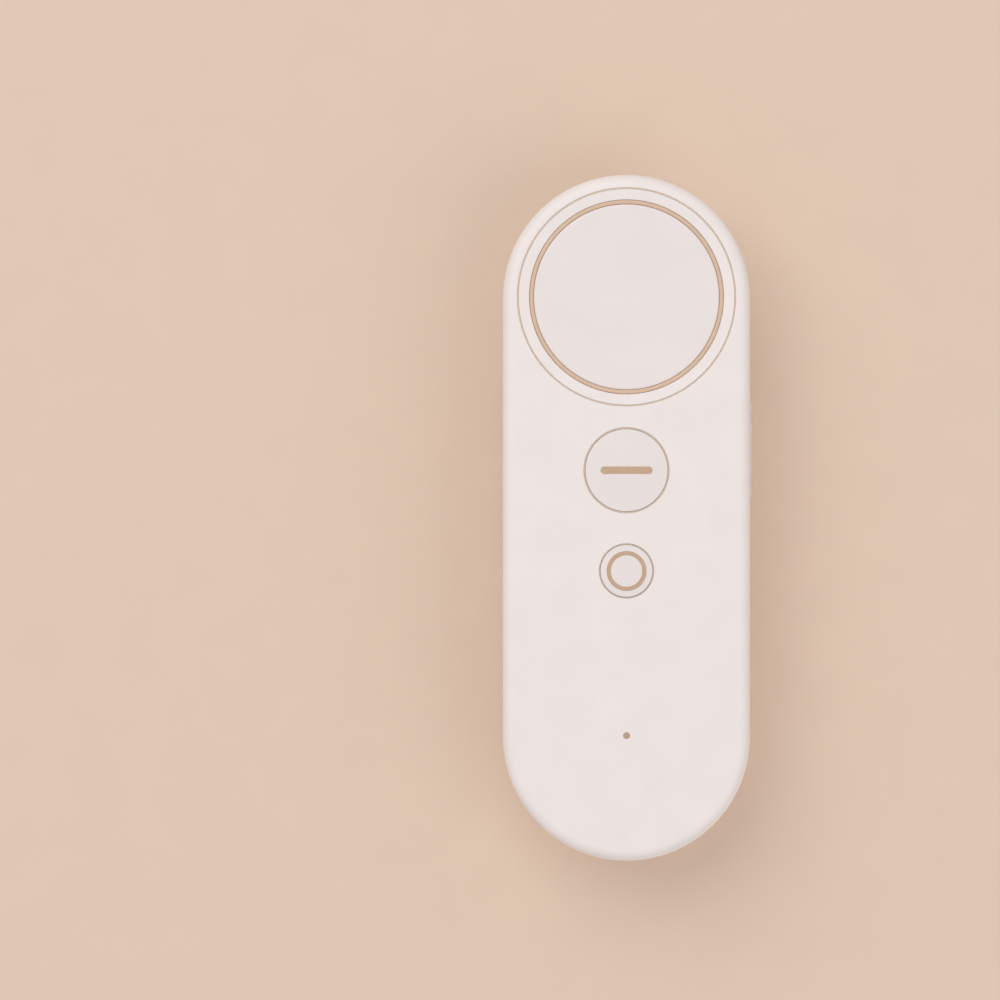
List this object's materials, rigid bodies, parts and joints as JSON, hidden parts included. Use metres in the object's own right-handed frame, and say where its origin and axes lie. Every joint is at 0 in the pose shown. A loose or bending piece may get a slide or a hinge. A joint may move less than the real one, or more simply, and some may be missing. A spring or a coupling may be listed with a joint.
{
  "type": "handheld motion controller",
  "caption": "Pill-shaped handheld motion controller with a round click touchpad, front buttons, side volume rocker, rear trigger and sliding battery cover.",
  "frame": {"origin": "centre of the flat back, on the surface that the controller lies on", "axes": "+Z out of the front face, +Y towards the touchpad end, +X towards the volume rocker"},
  "size_m": [0.0436, 0.1194, 0.0208],
  "materials": {
    "shell": "fine satin texture",
    "pad": "smooth satin",
    "keys": "soft gloss",
    "accent": "satin",
    "silicone": "matt silicone",
    "light": "clear moulded",
    "dark": "matt",
    "board": "solder mask",
    "flex": "polyimide film",
    "chip": "moulded",
    "passive": "matt",
    "shield": "pressed",
    "steel": "plated",
    "cell": "printed sleeve, plain"
  },
  "bodies": {
    "housing": {"front_housing": "shell", "rear_housing": "shell", "touchpad_bezel": "shell", "touchpad_seal": "silicone", "touchpad_switch": "steel", "menu_switch": "steel", "home_switch": "steel", "button_seal": "silicone", "status_light_pipe": "light", "status_led": "passive", "main_board": "board", "processor": "chip", "motion_sensor": "chip", "compass_sensor": "chip", "radio_module": "shield", "board_passives": "passive", "flex_connector": "passive", "hall_sensor": "chip", "trigger_pin": "steel", "trigger_spring": "steel", "volume_pin": "steel", "volume_switches": "dark", "battery_tray": "dark", "battery_left": "cell", "battery_right": "cell", "contact_bridge": "steel", "contact_positive": "steel", "contact_negative": "steel", "battery_spring_left": "steel", "battery_spring_right": "steel", "housing_screws": "steel", "board_screws": "steel"},
    "touchpad": {"touchpad_surface": "pad", "touchpad_ring": "accent", "touchpad_sensor_board": "board", "touchpad_carrier": "accent", "touchpad_flex": "flex", "touchpad_plunger": "chip"},
    "menu_key": {"menu_button": "keys", "menu_button_bar": "accent", "menu_plunger": "chip"},
    "home_key": {"home_button": "keys", "home_button_ring": "accent", "home_plunger": "chip"},
    "trigger_lever": {"trigger": "keys", "trigger_magnet": "steel"},
    "volume_key": {"volume_rocker": "keys", "volume_marks": "accent"},
    "cover": {"battery_cover": "shell"}
  },
  "joints": [
    {"name": "touchpad_click", "type": "slide", "parent": "housing", "child": "touchpad", "axis": [0, 0, -1], "range_m": [0, 0.0005], "stiffness_N_per_m": 3000, "springref_m": -0.0002},
    {"name": "menu_press", "type": "slide", "parent": "housing", "child": "menu_key", "axis": [0, 0, -1], "range_m": [0, 0.0004], "stiffness_N_per_m": 2500, "springref_m": -0.0002},
    {"name": "home_press", "type": "slide", "parent": "housing", "child": "home_key", "axis": [0, 0, -1], "range_m": [0, 0.0004], "stiffness_N_per_m": 2500, "springref_m": -0.0002},
    {"name": "trigger_pull", "type": "hinge", "parent": "housing", "child": "trigger_lever", "pos_m": [0, 0.04, 0.0075], "axis": [-1, 0, 0], "range_deg": [0, 8], "stiffness_Nm_per_rad": 0.15, "springref_deg": -5.73, "deforming": ["trigger_spring"]},
    {"name": "volume_rock", "type": "hinge", "parent": "housing", "child": "volume_key", "pos_m": [0.0186, 0.012, 0.0148], "axis": [0, 0, 1], "range_deg": [-1.8, 1.8], "stiffness_Nm_per_rad": 0.4},
    {"name": "cover_slide", "type": "slide", "parent": "housing", "child": "cover", "axis": [0, -1, 0], "range_m": [0, 0.075]}
  ]
}
